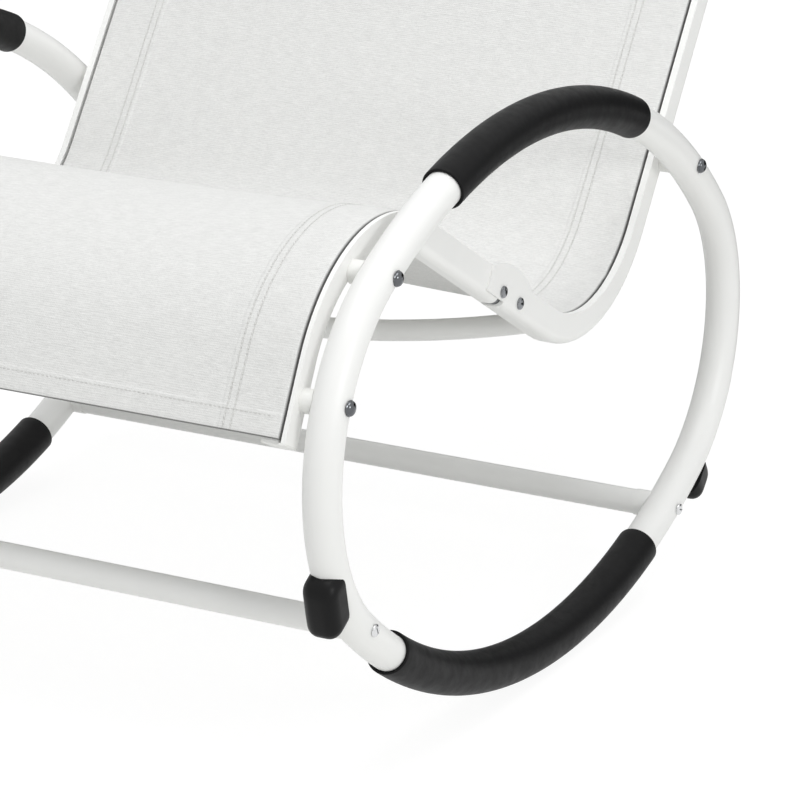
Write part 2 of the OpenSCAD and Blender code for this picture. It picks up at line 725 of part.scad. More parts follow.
// One closed section: over the top from right to left, round the left flange, back
// along the underside and round the right flange
function section_points(sag) = concat(
  [for (x = across) [x, sling_t / 2 - sag * droop(x)]],
  [[slot_x + sling_t / 2, -flange], [edge_x, -flange]],
  [for (i = [len(across) - 1 : -1 : 0])
    let (x = i == 0 ? -edge_x : i == len(across) - 1 ? edge_x : across[i])
    [x, -sling_t / 2 - sag * droop(x)]],
  [[-edge_x, -flange], [-slot_x - sling_t / 2, -flange]]
);
section_count = len(section_points(0));
function placed(row, q) =
  let (p = row[0] + q.y * unit(row[1] + 90))
  [q.x, p.x, p.y];
sling_points = [for (i = [0 : row_count - 1]) let (sag = sag_at(i))
  for (q = section_points(sag)) placed(sling_rows[i], q)];
sling_sides = [for (i = [0 : row_count - 2], j = [0 : section_count - 1], half = [0, 1])
  let (k = (j + 1) % section_count, a = i * section_count, b = a + section_count)
  half == 0 ? [a + j, b + j, b + k] : [a + j, b + k, a + k]];
sling_caps = [
  [for (j = [0 : section_count - 1]) j],
  [for (j = [section_count - 1 : -1 : 0]) (row_count - 1) * section_count + j]
];

module sling() {
  color(white) polyhedron(points = sling_points, faces = concat(sling_sides, sling_caps), convexity = 6);
}

sling_end = hip_out + sling_back_len * back_dir;

module welt(side) {
  path = [
    line_part(sling_start, front_slope, front_drop), knee_part,
    line_part(knee_out, -seat_slope, seat_len), hip_part,
    line_part(hip_out, back_slope, sling_back_len)
  ];
  color(white) on_side(side) sweep_path(path) translate([-channel_depth, slot_x]) disc(welt_d);
}

// Gap between the ring tube and the rail that a bolt goes into
function rail_face_at(a) = a == rear_bolt_at ? rail_face + lap_t : rail_face;

module rail_spacers() {
  color(white) both_sides() for (a = bolt_angles) difference() {
    rod(ring_point(a), spacer_d, rail_face_at(a), ring_x - tube_r / 2);
    rod(ring_point(a), bolt_d + 2 * hole_fit, 0, ring_x);
    ring_tube_near(a);
  }
}

module frame_bolts() {
  head_r = (pow(bolt_head_d / 2, 2) + bolt_head_h * bolt_head_h) / (2 * bolt_head_h);
  color(steel) both_sides() for (a = bolt_angles) {
    p = ring_point(a);
    rod(p, bolt_d, rail_face - rivet_nut_len, ring_x + tube_r + eps);
    intersection() {
      translate([p.x, p.y, ring_x + tube_r + bolt_head_h - head_r]) sphere(r = head_r);
      rod(p, bolt_head_d + 1, ring_x + tube_r, ring_x + tube_r + bolt_head_h);
    }
  }
}

module rail_nuts() {
  color(steel) both_sides() for (a = bolt_angles) difference() {
    rod(ring_point(a), rivet_nut_d, rail_face - rivet_nut_len, rail_face_at(a) - ring_fit);
    rod(ring_point(a), bolt_d + 2 * ring_fit, 0, ring_x);
  }
}

ring("left");  // left_ring
ring("right");  // right_ring
weld_cover("left");  // left_weld_cover
weld_cover("right");  // right_weld_cover
weld_sleeve("left");  // left_weld_sleeve
weld_sleeve("right");  // right_weld_sleeve
grip("left", arm_grip_from, arm_grip_to);  // left_arm_grip
grip("right", arm_grip_from, arm_grip_to);  // right_arm_grip
grip("left", rock_grip_from, rock_grip_to);  // left_rocker_grip
grip("right", rock_grip_from, rock_grip_to);  // right_rocker_grip
stop_pad("left", front_stop_at, 1);  // left_front_stop
stop_pad("right", front_stop_at, 1);  // right_front_stop
stop_pad("left", rear_stop_at, -1);  // left_rear_stop
stop_pad("right", rear_stop_at, -1);  // right_rear_stop
cross_tube(front_bar_at);  // front_cross_tube
cross_tube(rear_bar_at);  // rear_cross_tube
cross_tube_sockets();
cross_tube_plugs();
cross_tube_screws();
seat_rail("left");  // left_seat_rail
seat_rail("right");  // right_seat_rail
back_rail("left");  // left_back_rail
back_rail("right");  // right_back_rail
rail_joiner("left");  // left_rail_joiner
rail_joiner("right");  // right_rail_joiner
joint_screws();
straight_bar(front_seat_bar_p);  // seat_front_bar
bowed_bar();
straight_bar(top_bar_p);  // top_bar
rail_foot_plugs();
rail_top_plugs();
sling();
welt("left");  // left_welt
welt("right");  // right_welt
rail_spacers();
frame_bolts();
rail_nuts();
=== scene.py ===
# Outdoor rocking chair in white: the looks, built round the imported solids.
# Metres, +Z up. The sitter faces -Y and +X is the sitter's left side.
import json
from math import atan2, ceil, cos, degrees, exp, pi, radians, sin, sqrt

import bmesh
import bpy
from mathutils import Matrix, Vector, noise


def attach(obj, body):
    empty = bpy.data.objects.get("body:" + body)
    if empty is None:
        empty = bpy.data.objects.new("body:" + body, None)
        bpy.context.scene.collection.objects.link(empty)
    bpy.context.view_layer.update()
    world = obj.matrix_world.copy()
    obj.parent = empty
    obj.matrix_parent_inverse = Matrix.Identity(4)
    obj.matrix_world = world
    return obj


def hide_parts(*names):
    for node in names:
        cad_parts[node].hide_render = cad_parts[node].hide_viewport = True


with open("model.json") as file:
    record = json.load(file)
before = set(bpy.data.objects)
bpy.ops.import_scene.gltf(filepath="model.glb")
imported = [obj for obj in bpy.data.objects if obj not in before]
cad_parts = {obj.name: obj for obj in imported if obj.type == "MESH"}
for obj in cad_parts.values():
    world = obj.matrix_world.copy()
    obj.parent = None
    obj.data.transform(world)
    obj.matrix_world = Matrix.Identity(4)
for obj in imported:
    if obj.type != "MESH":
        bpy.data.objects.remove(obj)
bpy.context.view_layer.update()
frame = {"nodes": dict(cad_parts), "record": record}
nodes = frame["nodes"]
MM = 0.001


# Modelling by hand
def leave_all():
    """Nothing is selected and no piece is open for editing."""
    if bpy.context.object and bpy.context.object.mode != "OBJECT":
        bpy.ops.object.mode_set(mode="OBJECT")
    bpy.ops.object.select_all(action="DESELECT")


def take(piece):
    """Only this piece is selected and active."""
    leave_all()
    piece.select_set(True)
    bpy.context.view_layer.objects.active = piece
    return piece


def begin(name):
    """Names the primitive that was just added and opens it for editing."""
    piece = bpy.context.object
    piece.name = name
    piece.data.name = name
    bpy.ops.object.mode_set(mode="EDIT")
    return piece


def choose(piece, kind, test):
    """Selects the vertices, edges or faces whose place passes the test. A face is tested with its normal."""
    bpy.ops.mesh.select_mode(type=kind)
    mesh = bmesh.from_edit_mesh(piece.data)
    for part in list(mesh.verts) + list(mesh.edges) + list(mesh.faces):
        part.select_set(False)
    if kind == "VERT":
        parts = [v for v in mesh.verts if test(v.co)]
    elif kind == "EDGE":
        parts = [e for e in mesh.edges if test((e.verts[0].co + e.verts[1].co) / 2)]
    else:
        parts = [f for f in mesh.faces if test(f.calc_center_median(), f.normal)]
    for part in parts:
        part.select_set(True)
    mesh.select_flush_mode()
    bmesh.update_edit_mesh(piece.data)
    return len(parts)


def finish_with(piece, kind, **settings):
    """Adds one modifier and applies it."""
    take(piece)
    added = piece.modifiers.new(kind.title(), kind)
    for name, value in settings.items():
        setattr(added, name, value)
    bpy.ops.object.modifier_apply(modifier=added.name)


def settle(piece, smooth=35):
    """Puts the piece's place into its mesh and shades it, with edges over the angle left sharp."""
    take(piece)
    bpy.ops.object.transform_apply(location=True, rotation=True, scale=True)
    bpy.ops.object.shade_smooth_by_angle(angle=radians(smooth))
    return piece


def outward():
    """In edit mode: merges doubles and turns all faces outward."""
    bpy.ops.mesh.select_all(action="SELECT")
    bpy.ops.mesh.remove_doubles(threshold=0.00001)
    bpy.ops.mesh.normals_make_consistent(inside=False)


def mirrored(piece, name):
    """The same piece on the other side, with its own mesh."""
    take(piece)
    bpy.ops.object.duplicate()
    other = bpy.context.object
    other.name = other.data.name = name
    other.data.transform(Matrix.Scale(-1, 4, (1, 0, 0)))
    bpy.ops.object.mode_set(mode="EDIT")
    bpy.ops.mesh.select_all(action="SELECT")
    bpy.ops.mesh.flip_normals()
    bpy.ops.object.mode_set(mode="OBJECT")
    return other


def discard(piece):
    take(piece)
    bpy.ops.object.delete()


def copied(piece, name, place):
    """A copy with its own mesh, moved by a matrix."""
    take(piece)
    bpy.ops.object.duplicate()
    other = bpy.context.object
    other.name = other.data.name = name
    other.data.transform(place)
    return other


def joined(pieces, name):
    leave_all()
    for piece in pieces:
        piece.select_set(True)
    bpy.context.view_layer.objects.active = pieces[0]
    if len(pieces) > 1:
        bpy.ops.object.join()
    whole = bpy.context.object
    whole.name = whole.data.name = name
    return whole


def wear(piece, finish, slot, *stands_for):
    """Gives a new piece its material, its body and the nodes that it stands for."""
    piece.data.materials.clear()
    piece.data.materials.append(finish)
    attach(piece, "root")
    if stands_for:
        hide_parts(*stands_for)
    return piece


# The chair's sizes, in mm
ring_half_len, ring_front_r, ring_rear_r, ring_top_r, ring_bottom_r = 352, 153, 140, 490, 510
ring_lean, ring_tube_r, ring_x, ring_y, ring_up = -7, 14, 286, -136.749, 228.638
grip_wall, arm_grip, rocker_grip = 2.7, (73.75, 112.75), (243.5, 295)
weld_at, weld_rise, weld_len, weld_lead = 335, 3.2, 54, 13
front_stop_at, rear_stop_at, front_stop_len, rear_stop_len = 216.3, 308, 45, 31
stop_w, stop_round, stop_low, stop_reach, stop_slope, stop_belly = 27.6, 10.2, 8, 28.5, 0.27, 1.2
bolt_places, screw_places = (163.5, 125, 59.25), (236.25, 300.75)
joint_screws = ((-165.94, 310.56), (-137.00, 293.68))
rail_face, lap_t, slot_x, rail_inner = 265, 2, 260, 245
knee_in, knee_out = (-474.494, 343.797), (-290.383, 397.896)
hip_in, hip_out = (-72.833, 271.025), (74.771, 302.736)
front_slope, seat_slope, back_slope = 63, 30.25, 54.5
knee_r, hip_r, front_drop, sling_back = 132, 112, 58, 688
knee_dip, hip_rise, bend_reach = 11, 11, 155
hem_w, front_hem, stitch_rows, stitch_pitch, front_row_in = 49, 17.5, (45.5, 39.5), 3.6, 2.2
edge_bend, edge_drop, edge_in = 2.2, 4.6, 0.35
crease_at, crease_depth, crease_w = 640, 0.9, 4.5


def unit(angle):
    return Vector((cos(radians(angle)), sin(radians(angle))))


def turned(v, angle):
    return Matrix.Rotation(radians(angle), 2) @ Vector(v)


# The ring's four arcs: centre, radius, first and last angle of the outward side
front_c, rear_c = Vector((ring_front_r - ring_half_len, 0)), Vector((ring_half_len - ring_rear_r, 0))


def long_centre(r, side):
    a, b, apart = r - ring_front_r, r - ring_rear_r, rear_c.x - front_c.x
    x = (a * a - b * b + apart * apart) / (2 * apart)
    return Vector((front_c.x + x, side * sqrt(a * a - x * x)))


def heading(v):
    return degrees(atan2(v.y, v.x)) % 360


top_c, bottom_c = long_centre(ring_top_r, -1), long_centre(ring_bottom_r, 1)
meets = [heading(rear_c - top_c), heading(front_c - top_c),
         heading(front_c - bottom_c), heading(rear_c - bottom_c)]
ring_arcs = [(top_c, ring_top_r, meets[0], meets[1]), (front_c, ring_front_r, meets[1], meets[2]),
             (bottom_c, ring_bottom_r, meets[2], meets[3]), (rear_c, ring_rear_r, meets[3], meets[0] + 360)]


def arc_of(angle):
    angle = angle if angle >= meets[0] else angle + 360
    return next(arc for arc in ring_arcs if arc[2] <= angle < arc[3])


def ring_centre(arc):
    """An arc's centre as (y, z) in metres."""
    place = turned(arc[0], ring_lean) + Vector((ring_y, ring_up))
    return place * MM


def ring_point(angle, off=0.0, x=ring_x):
    """A point by the angle of the ring's outward side, off mm outside the tube's middle line, in metres."""
    arc = arc_of(angle)
    place = turned(arc[0] + (arc[1] + off) * unit(angle), ring_lean) + Vector((ring_y, ring_up))
    return Vector((x, place.x, place.y)) * MM


def spin_arc(arc, sweep, step):
    """In edit mode: spins what is selected round an arc's centre, by so many degrees."""
    centre, count = (ring_x * MM, *ring_centre(arc)), max(2, ceil(abs(sweep) / step))
    bpy.ops.mesh.spin(steps=count, angle=-radians(sweep), center=centre, axis=(1, 0, 0))


def circle_at(angle, r, count):
    """Adds a circle of r mm across the ring's tube at an angle."""
    leave_all()
    place, turn = ring_point(angle), (radians(angle + ring_lean), 0, 0)
    bpy.ops.mesh.primitive_circle_add(vertices=count, radius=r * MM, location=place, rotation=turn)


def ease(value, start, end):
    t = min(1, max(0, (value - start) / (end - start)))
    return t * t * (3 - 2 * t)


# Materials
def linear(code):
    """An sRGB hex colour as Blender's linear one."""
    parts = [int(code[i:i + 2], 16) / 255 for i in (1, 3, 5)]
    return [c / 12.92 if c <= 0.04045 else ((c + 0.055) / 1.055) ** 2.4 for c in parts] + [1]


def add(tree, kind, inputs=(), **settings):
    """Adds one node with its settings. Each input takes a value or another node's output."""
    made = tree.nodes.new(kind)
    for name, value in settings.items():
        setattr(made, name, value)
    for socket, value in dict(inputs).items():
        if isinstance(value, bpy.types.NodeSocket):
            tree.links.new(value, made.inputs[socket])
        else:
            made.inputs[socket].default_value = value
    return made


def new_material(name):
    made = bpy.data.materials.new(name)
    made.use_nodes = True
    made.node_tree.nodes.clear()
    return made, made.node_tree


def surface(tree, shader):
    add(tree, "ShaderNodeOutputMaterial", {"Surface": shader.outputs[0]})


def blend_of(tree, factor, low, high):
    """A blend of two colours, each a hex code or another node's output."""
    low, high = (linear(c) if isinstance(c, str) else c for c in (low, high))
    made = add(tree, "ShaderNodeMix", {0: factor, 6: low, 7: high}, data_type="RGBA")
    return made.outputs[2]


def object_place(tree):
    return add(tree, "ShaderNodeTexCoord").outputs["Object"]


def noise_of(tree, place, size, detail, **more):
    """Noise with patches of about so many mm."""
    inputs = {"Vector": place, "Scale": 1 / (size * MM), "Detail": detail, **more}
    return add(tree, "ShaderNodeTexNoise", inputs).outputs["Fac"]


def range_of(tree, value, low, high, first, last):
    inputs = {"Value": value, "From Min": low, "From Max": high, "To Min": first, "To Max": last}
    return add(tree, "ShaderNodeMapRange", inputs).outputs["Result"]


def relief_of(tree, height, strength, depth):
    """Fine relief as a normal, its depth in mm."""
    inputs = {"Height": height, "Strength": strength, "Distance": depth * MM}
    return add(tree, "ShaderNodeBump", inputs).outputs["Normal"]


def powder_coat(name, base, shade, roughness):
    # Polyester powder coat, sprayed on steel and baked: a satin white skin with a fine
    # orange peel about 1.2 mm across, and a faint cloudiness in its colour and gloss.
    made, tree = new_material(name)
    place = object_place(tree)
    cloud = noise_of(tree, place, 45, 3.0)
    peel = noise_of(tree, place, 1.2, 1.0, Roughness=0.4)
    specks = noise_of(tree, place, 4, 2.0, Roughness=0.6)
    shader = add(tree, "ShaderNodeBsdfPrincipled", {
        "Base Color": blend_of(tree, cloud, shade, base), "IOR": 1.5,
        "Roughness": range_of(tree, specks, 0.3, 0.7, roughness - 0.02, roughness + 0.03),
        "Normal": relief_of(tree, peel, 0.12, 0.06)})
    surface(tree, shader)
    return made


def moulded_plastic(name, base, shade, roughness, grain, specular=0.5):
    # Moulded plastic or rubber: even colour, with the fine spark-eroded grain of its mould.
    made, tree = new_material(name)
    place = object_place(tree)
    cloud = noise_of(tree, place, 9, 4.0, Roughness=0.6)
    fine = noise_of(tree, place, grain, 2.0, Roughness=0.6)
    shader = add(tree, "ShaderNodeBsdfPrincipled", {
        "Base Color": blend_of(tree, cloud, shade, base), "IOR": 1.49, "Specular IOR Level": specular,
        "Roughness": range_of(tree, cloud, 0.3, 0.7, roughness - 0.06, roughness + 0.06),
        "Normal": relief_of(tree, fine, 0.25, 0.08)})
    surface(tree, shader)
    return made


def plated_steel(name, base, shade, roughness, scratch):
    # Plated steel: bright metal with fine marks from tumbling and from the driver.
    made, tree = new_material(name)
    place = object_place(tree)
    marks = noise_of(tree, place, 0.8, 4.0, Roughness=0.7, Distortion=0.6)
    cloud = noise_of(tree, place, 5, 2.0)
    shader = add(tree, "ShaderNodeBsdfPrincipled", {
        "Base Color": blend_of(tree, cloud, shade, base), "Metallic": 1.0,
        "Roughness": range_of(tree, marks, 0.3, 0.7, roughness * 0.7, roughness * 1.4),
        "Normal": relief_of(tree, marks, scratch, 0.03)})
    surface(tree, shader)
    return made


def woven_sling(name):
    # Plain-woven mesh of white coated polyester yarn, calendered: weft ribs 1.65 mm apart
    # run across the chair, and warp yarns 1.9 mm apart cross them.
    # The map's u and v are metres across and along the cloth. Where the cloth turns down into
    # the rail's slot and along its heat-cut front edge its colour is darkened to grey: painted shade.
    made, tree = new_material(name)
    rib, yarn, wave = 1.65, 1.9, 1.6
    cloth = add(tree, "ShaderNodeUVMap", uv_map="cloth").outputs["UV"]
    part = add(tree, "ShaderNodeSeparateXYZ", {"Vector": cloth})
    across, length = part.outputs["X"], part.outputs["Y"]

    def math(kind, a, b=0.0, c=0.0):
        return add(tree, "ShaderNodeMath", {0: a, 1: b, 2: c}, operation=kind).outputs[0]

    def added(amount, noise_value, to):
        return math("MULTIPLY_ADD", range_of(tree, noise_value, 0.3, 0.7, -0.5, 0.5), amount, to)

    wander = noise_of(tree, cloth, 26, 3.0)
    along = math("MULTIPLY_ADD", wander, wave * MM, length)
    weft = math("SINE", math("MULTIPLY", along, 2 * pi / (rib * MM)))
    warp = math("SINE", math("MULTIPLY", across, 2 * pi / (yarn * MM)))
    over = math("MULTIPLY_ADD", math("MULTIPLY", weft, warp), 0.4, math("MULTIPLY", weft, 0.4))
    stretch = add(tree, "ShaderNodeMapping", {"Vector": cloth, "Scale": (0.16, 1.0, 1.0)}).outputs[0]
    tone = range_of(tree, over, -0.8, 0.8, -0.3, 0.3)
    tone = added(0.55, noise_of(tree, stretch, 1.5, 3.0, Roughness=0.65), tone)
    tone = added(0.5, noise_of(tree, cloth, 1.9, 2.0, Roughness=0.8), tone)
    tone = added(0.22, noise_of(tree, cloth, 11, 3.0, Roughness=0.6), tone)
    from_hem = math("ABSOLUTE", across)
    rows = math("ABSOLUTE", math("SUBTRACT", from_hem, (slot_x - sum(stitch_rows) / 2) * MM))
    rows = math("ABSOLUTE", math("SUBTRACT", rows, (stitch_rows[0] - stitch_rows[1]) / 2 * MM))
    row = range_of(tree, rows, 0.4 * MM, 1.1 * MM, 1.0, 0.0)
    woven = blend_of(tree, range_of(tree, tone, -0.8, 0.8, 0.0, 1.0), "#cdcdcb", "#f1f1ef")
    sewn = blend_of(tree, math("MULTIPLY", row, 0.45), woven, "#c9c9c6")
    # Painted shade: the cloth turns dark grey where it goes down into the rail's slot
    slot_shade = range_of(tree, from_hem, (slot_x - 1.9) * MM, (slot_x - 0.2) * MM, 0.0, 1.0)
    # Painted shade: a dark grey line along the cloth's front edge, under the hem
    hem_edge_shade = range_of(tree, length, 0.5 * MM, 1.3 * MM, 1.0, 0.0)
    shader = add(tree, "ShaderNodeBsdfPrincipled", {
        "Base Color": blend_of(tree, math("MAXIMUM", slot_shade, hem_edge_shade), sewn, "#6a6a69"),
        "Roughness": 0.62, "IOR": 1.5, "Sheen Weight": 0.08, "Sheen Roughness": 0.5,
        "Normal": relief_of(tree, math("MULTIPLY_ADD", row, -1.2, tone), 0.6, 0.26)})
    surface(tree, shader)
    return made


white_tube = powder_coat("powder_coated_steel_tube", "#f3f3f1", "#efefed", 0.36)
white_rail = powder_coat("powder_coated_rail", "#f7f7f5", "#f2f2f0", 0.42)
white_plastic = moulded_plastic("white_nylon", "#efefec", "#e8e8e5", 0.45, 0.7)
welt_plastic = moulded_plastic("white_welt_rod", "#e9e9e6", "#e0e0dd", 0.5, 0.5)
sleeve_rubber = moulded_plastic("black_sleeve_rubber", "#0c0c0d", "#080809", 0.5, 0.45, 0.16)
pad_rubber = moulded_plastic("black_moulded_rubber", "#0b0b0c", "#070708", 0.42, 0.6, 0.2)
chrome = plated_steel("black_chrome_plated_steel", "#6e7073", "#5e6063", 0.12, 0.05)
zinc = plated_steel("zinc_plated_steel", "#9b9da0", "#7d7f82", 0.2, 0.15)
nickel = plated_steel("nickel_plated_steel", "#e2e3e4", "#d0d1d2", 0.24, 0.1)
bare_steel = plated_steel("bare_drawn_steel", "#9a9c9e", "#828486", 0.4, 0.25)
cloth = woven_sling("white_woven_sling_mesh")
thread = moulded_plastic("white_polyester_thread", "#e4e4e1", "#d2d2cf", 0.6, 0.3)

SLOT_FINISH = {"white_tube": white_tube, "white_rails": white_rail, "white_plastic": white_plastic,
               "sling_cloth": cloth, "welt_cord": welt_plastic, "black_grip": sleeve_rubber,
               "black_rubber": pad_rubber, "chrome_bolts": chrome, "bright_screws": zinc,
               "bare_steel": bare_steel}
for part in frame["record"]["subparts"]:
    for place in nodes[part["node"]].material_slots:
        place.material = SLOT_FINISH[part["material_slot"]]


# Side rings
def weld_swelling(down):
    """The ring's swelling over its weld, so many mm down from the swelling's upper end."""
    if not 0 < down < weld_len:
        return 0
    if down < weld_lead:
        return weld_rise * ease(down, 0, weld_lead)
    return weld_rise * (1 + cos(pi * (down - weld_lead) / (weld_len - weld_lead))) / 2


def make_ring():
    """The ring's tube: one circle spun round the four arcs, then drawn out over its weld."""
    circle_at(meets[0] + 0.001, ring_tube_r, 48)
    piece = begin("left_ring_tube")
    bpy.ops.mesh.select_all(action="SELECT")
    for arc in ring_arcs:
        spin_arc(arc, arc[3] - arc[2], 1.2 if arc[1] > 300 else 1.8)
    outward()
    bpy.ops.object.mode_set(mode="OBJECT")
    settle(piece, 60)
    middle = ring_centre(ring_arcs[3])
    for v in piece.data.vertices:
        arm = Vector((v.co.y, v.co.z)) - middle
        past = weld_at - (degrees(atan2(arm.y, arm.x)) - ring_lean) % 360
        down = radians(past) * (ring_rear_r + ring_tube_r) + weld_len / 2
        outer = Vector(((v.co.x / MM - ring_x) / ring_tube_r, (arm.length / MM - ring_rear_r) / ring_tube_r))
        if outer.y > 0 and weld_swelling(down):
            out = arm.normalized() * weld_swelling(down) * outer.y ** 1.3 * MM
            v.co += Vector((0, out.x, out.y))
    return piece


def make_grip(name, start, end):
    """A sleeve on the ring: a circle spun along the arc, given its wall and rounded at both rims."""
    circle_at(start, ring_tube_r + grip_wall, 56)
    piece = begin(name)
    bpy.ops.mesh.select_all(action="SELECT")
    spin_arc(arc_of((start + end) / 2), end - start, 1.0)
    outward()
    bpy.ops.object.mode_set(mode="OBJECT")
    finish_with(piece, "SOLIDIFY", thickness=(grip_wall - 0.1) * MM, offset=-1, use_rim=True)
    finish_with(piece, "BEVEL", width=1.1 * MM, segments=4, limit_method="ANGLE", angle_limit=radians(50))
    return settle(piece, 60)


def make_pad(name, angle, length, floor_side, tube):
    """A stop pad: a rounded block, sloped so that its upper end meets the tube, and hollowed by the tube."""
    leave_all()
    bpy.ops.mesh.primitive_cube_add(size=MM)
    pad = begin(name)
    bpy.ops.transform.resize(value=(stop_w, length, stop_reach - stop_low), center_override=(0, 0, 0))
    bpy.ops.transform.translate(value=(0, 0, (stop_low + stop_reach) / 2 * MM))
    choose(pad, "EDGE", lambda place: place.z > (stop_low + 1) * MM or abs(place.y) > (length / 2 - 1) * MM)
    bpy.ops.mesh.bevel(offset=stop_round * MM, segments=7, affect="EDGES")
    for cut_at in range(-22, 23, 4):
        bpy.ops.mesh.select_all(action="SELECT")
        bpy.ops.mesh.bisect(plane_co=(0, cut_at * MM, 0), plane_no=(0, 1, 0))
    bpy.ops.object.mode_set(mode="OBJECT")
    for v in pad.data.vertices:
        height = (v.co.z / MM - stop_low) / (stop_reach - stop_low)
        bow = stop_belly * (1 - (2 * v.co.y / MM / length) ** 2) * height
        v.co.z += stop_slope * floor_side * v.co.y + bow * MM
    turn = radians(angle + ring_lean)
    out, along = Vector((0, cos(turn), sin(turn))), Vector((0, -sin(turn), cos(turn)))
    axes = Matrix((Vector((-1, 0, 0)), along, out)).transposed().to_4x4()
    pad.data.transform(Matrix.Translation(ring_point(angle)) @ axes)
    finish_with(pad, "BOOLEAN", object=tube, operation="DIFFERENCE", solver="EXACT")
    return settle(pad, 40)


# Bolts and screws
def turned_piece(name, profile, count):
    """A round piece, drawn out along Z through radii and heights in mm."""
    leave_all()
    r, h = profile[0]
    start = (0, 0, h * MM)
    bpy.ops.mesh.primitive_circle_add(vertices=count, radius=r * MM, location=start, fill_type="NGON")
    bpy.ops.object.transform_apply(location=True)
    piece = begin(name)
    bpy.ops.mesh.select_all(action="SELECT")
    for next_r, next_h in profile[1:]:
        bpy.ops.mesh.extrude_region_move(TRANSFORM_OT_translate={"value": (0, 0, (next_h - h) * MM)})
        bpy.ops.transform.resize(value=(next_r / r, next_r / r, 1), center_override=(0, 0, next_h * MM))
        r, h = next_r, next_h
    outward()
    bpy.ops.object.mode_set(mode="OBJECT")
    return piece


def make_bolt():
    """A frame bolt: its shank, a thin rim under the head, and a domed head."""
    dome = [(5.6 * sqrt(1 - (i / 8) ** 2), 1.25 + 3.25 * i / 8) for i in range(8)]
    shank_and_rim = [(2.5, -46), (2.5, 0), (5.7, 0), (6.0, 0.25), (6.0, 0.8), (5.75, 1.05)]
    return settle(turned_piece("bolt", shank_and_rim + dome + [(0.8, 4.47)], 40), 30)


def make_screw(shank):
    """A pan-head screw with a cross cut in its head."""
    head = [(4.5, 0), (4.75, 0.3), (4.75, 0.9), (4.5, 1.6), (3.9, 2.1), (3.0, 2.45), (1.6, 2.6)]
    screw = turned_piece("screw", [(2.5, -shank), (2.5, 0)] + head, 32)
    for turn in (0, pi / 2):
        leave_all()
        bpy.ops.mesh.primitive_cube_add(size=MM, location=(0, 0, 2.3 * MM), rotation=(0, 0, turn))
        cutter = begin("cross_cutter")
        bpy.ops.transform.resize(value=(5.6, 1.15, 2.8), center_override=(0, 0, 2.3 * MM))
        bpy.ops.object.mode_set(mode="OBJECT")
        finish_with(screw, "BOOLEAN", object=cutter, operation="DIFFERENCE", solver="EXACT")
        discard(cutter)
    return settle(screw, 30)


def set_out(source, name, places):
    """Copies of one fastener at places in mm on both sides, heads outward, as one piece."""
    made = []
    for i, (x, y, z) in enumerate(places):
        for side in (1, -1):
            turn = Matrix.Rotation(side * pi / 2, 4, "Y") @ Matrix.Rotation(radians(23 + 47 * i), 4, "Z")
            made.append(copied(source, name, Matrix.Translation(Vector((side * x, y, z)) * MM) @ turn))
    discard(source)
    return joined(made, name)


ring = make_ring()
for pad_name, angle, length, floor_side in (("front_stop", front_stop_at, front_stop_len, 1),
                                            ("rear_stop", rear_stop_at, rear_stop_len, -1)):
    pad = make_pad("left_" + pad_name + "_pad", angle, length, floor_side, ring)
    wear(mirrored(pad, "right_" + pad_name + "_pad"), pad_rubber, "black_rubber", "right_" + pad_name)
    wear(pad, pad_rubber, "black_rubber", "left_" + pad_name)
wear(mirrored(ring, "right_ring_tube"), white_tube, "white_tube", "right_ring", "right_weld_cover")
wear(ring, white_tube, "white_tube", "left_ring", "left_weld_cover")
for grip_name, (start, end) in (("arm_grip", arm_grip), ("rocker_grip", rocker_grip)):
    grip = make_grip("left_" + grip_name + "_sleeve", start, end)
    wear(mirrored(grip, "right_" + grip_name + "_sleeve"), sleeve_rubber, "black_grip", "right_" + grip_name)
    wear(grip, sleeve_rubber, "black_grip", "left_" + grip_name)

def on_ring(angles):
    """Places in mm on the ring's outer face, by angle."""
    return [(ring_x + ring_tube_r, *(ring_point(a) / MM).yz) for a in angles]


bolts = set_out(make_bolt(), "domed_frame_bolts", on_ring(bolt_places))
wear(bolts, chrome, "chrome_bolts", "frame_bolts")
tube_screws = set_out(make_screw(45), "cross_tube_pan_screws", on_ring(screw_places))
wear(tube_screws, nickel, "bright_screws", "cross_tube_screws")
lap_screws = set_out(make_screw(18), "lap_pan_screws", [(rail_face + lap_t, y, z) for y, z in joint_screws])
wear(lap_screws, zinc, "bright_screws", "joint_screws")


# The sling
knee_arc = radians(front_slope + seat_slope) * knee_r
seat_run = (Vector(hip_in) - Vector(knee_out)).length
hip_arc = radians(back_slope + seat_slope) * hip_r
sling_len = front_drop + knee_arc + seat_run + hip_arc + sling_back
knee_mid = front_drop + knee_arc / 2
hip_mid = front_drop + knee_arc + seat_run + hip_arc / 2


def sling_line(s):
    """The rails' line at s mm from the front hem: its place (y, z) and its slope in degrees."""
    if s < front_drop:
        return Vector(knee_in) + (s - front_drop) * unit(front_slope), front_slope
    s -= front_drop
    if s < knee_arc:
        slope = front_slope - degrees(s / knee_r)
        return Vector(knee_in) + knee_r * (unit(front_slope - 90) + unit(slope + 90)), slope
    s -= knee_arc
    if s < seat_run:
        return Vector(knee_out) + s * unit(-seat_slope), -seat_slope
    s -= seat_run
    if s < hip_arc:
        slope = -seat_slope + degrees(s / hip_r)
        return Vector(hip_in) + hip_r * (unit(90 - seat_slope) + unit(slope - 90)), slope
    return Vector(hip_out) + (s - hip_arc) * unit(back_slope), back_slope


def swell(distance):
    return cos(pi / 2 * distance / bend_reach) ** 2 if abs(distance) < bend_reach else 0


